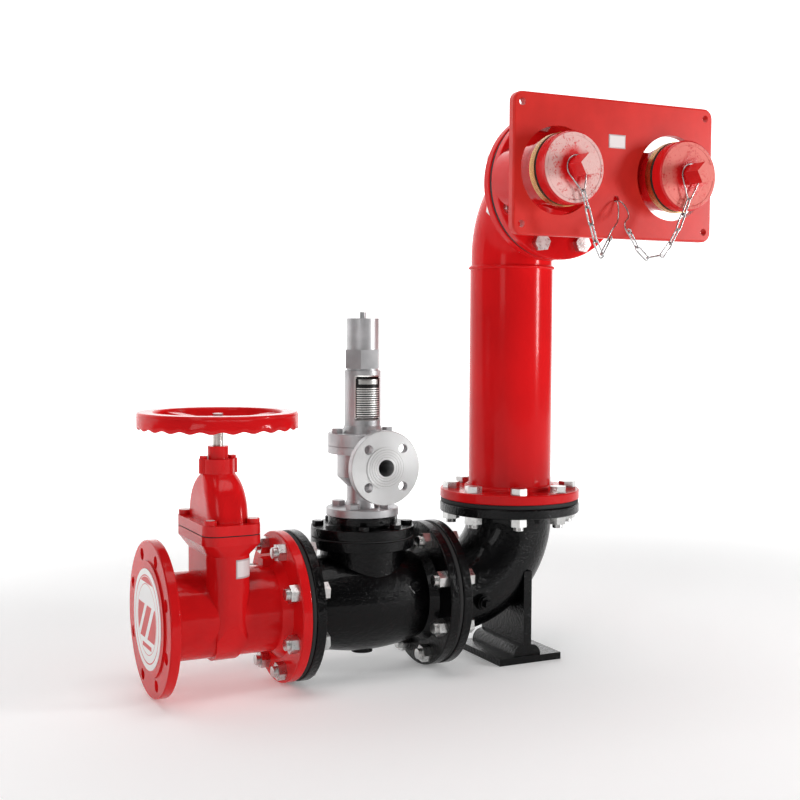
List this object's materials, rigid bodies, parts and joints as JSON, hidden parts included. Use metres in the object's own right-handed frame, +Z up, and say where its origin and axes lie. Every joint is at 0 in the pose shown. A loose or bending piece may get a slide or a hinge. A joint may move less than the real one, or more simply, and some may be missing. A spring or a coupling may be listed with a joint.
{
  "type": "fire department connection",
  "caption": "Flanged fire department connection: gate valve and handwheel, check valve with relief valve, foot elbow, riser and a wall panel with capped hose inlets on chains",
  "frame": {"origin": "centre of the underside of the foot elbow's base plate, under the riser axis", "axes": "+X runs along the pipe from the gate valve to the riser, -Y is the side the hose inlets face, +Z is up"},
  "size_m": [0.9845, 0.5984, 1.0875],
  "materials": {
    "red_paint": "gloss red paint over cast iron and steel",
    "black_paint": "gloss black paint over bumpy cast iron",
    "silver_paint": "silver aluminium paint over castings",
    "zinc_steel": "bright zinc plating",
    "stainless": "turned stainless steel",
    "spring_steel": "oiled spring steel",
    "brass": "turned brass",
    "rubber": "matt black rubber",
    "iron": "coated cast iron",
    "cap_paint": "red painted cap with a pale face",
    "screw_filler": "cap screws with pale filler in the sockets",
    "card": "printed card in plain fields of red and white"
  },
  "bodies": {
    "connection": {"gate_valve_body": "red_paint", "gate_valve_bonnet": "red_paint", "stem_gland": "red_paint", "gland_bolts": "red_paint", "riser_lower_flange": "red_paint", "riser_pipe": "red_paint", "riser_bend": "red_paint", "riser_upper_flange": "red_paint", "inlet_branch": "red_paint", "wall_panel": "red_paint", "left_coupling": "red_paint", "right_coupling": "red_paint", "check_valve_body": "black_paint", "check_valve_cover": "black_paint", "cover_bolts": "black_paint", "foot_elbow": "black_paint", "drain_plug": "black_paint", "relief_body": "silver_paint", "relief_bonnet": "silver_paint", "relief_cap": "silver_paint", "relief_flange_bolts": "silver_paint", "relief_bonnet_bolts": "silver_paint", "flange_bolts": "zinc_steel", "flange_nuts": "zinc_steel", "panel_bolts": "zinc_steel", "left_chain": "zinc_steel", "right_chain": "zinc_steel", "hinge_pin": "stainless", "relief_seat": "stainless", "adjusting_screw": "stainless", "adjuster_lock_nut": "stainless", "upper_spring_plate": "stainless", "relief_spring": "spring_steel", "seat_ring": "brass", "left_coupling_ring": "brass", "right_coupling_ring": "brass", "bonnet_gasket": "rubber", "cover_gasket": "rubber", "relief_gasket": "rubber", "gate_check_gasket": "rubber", "check_elbow_gasket": "rubber", "elbow_riser_gasket": "rubber", "bend_branch_gasket": "rubber", "left_cap_washer": "rubber", "right_cap_washer": "rubber", "bonnet_screws": "screw_filler", "inlet_cover": "card"},
    "wheel": {"handwheel": "red_paint", "handwheel_washer": "zinc_steel", "handwheel_bolt": "zinc_steel", "gate_stem": "stainless"},
    "wedge": {"gate_wedge": "rubber", "wedge_nut": "brass"},
    "clapper": {"clapper": "iron", "clapper_arm": "iron"},
    "relief_lift": {"relief_disc": "stainless", "relief_spindle": "stainless", "lower_spring_plate": "stainless"},
    "left_cap": {"left_cap": "cap_paint"},
    "right_cap": {"right_cap": "cap_paint"}
  },
  "joints": [
    {"name": "wheel_turn", "type": "hinge", "parent": "connection", "child": "wheel", "pos_m": [-0.6235, 0, 0.5], "axis": [0, 0, 1], "range_deg": [0, 8760]},
    {"name": "wedge_lift", "type": "slide", "parent": "connection", "child": "wedge", "axis": [0, 0, 1], "range_m": [0, 0.1461]},
    {"name": "clapper_swing", "type": "hinge", "parent": "connection", "child": "clapper", "pos_m": [-0.283, 0, 0.235], "axis": [0, 1, 0], "range_deg": [0, 55]},
    {"name": "relief_lift", "type": "slide", "parent": "connection", "child": "relief_lift", "axis": [0, 0, 1], "range_m": [0, 0.008], "stiffness_N_per_m": 45000, "springref_m": -0.02, "deforming": ["relief_spring"]},
    {"name": "left_cap_turn", "type": "hinge", "parent": "connection", "child": "left_cap", "pos_m": [-0.12198, -0.39, 0.945], "axis": [0, -1, 0], "range_deg": [0, 60]},
    {"name": "right_cap_turn", "type": "hinge", "parent": "connection", "child": "right_cap", "pos_m": [0.12198, -0.39, 0.945], "axis": [0, -1, 0], "range_deg": [0, 60]}
  ],
  "couplings": [
    {"joint": "wedge_lift", "follows": "wheel_turn", "m_per_rad": 0.00095493}
  ]
}
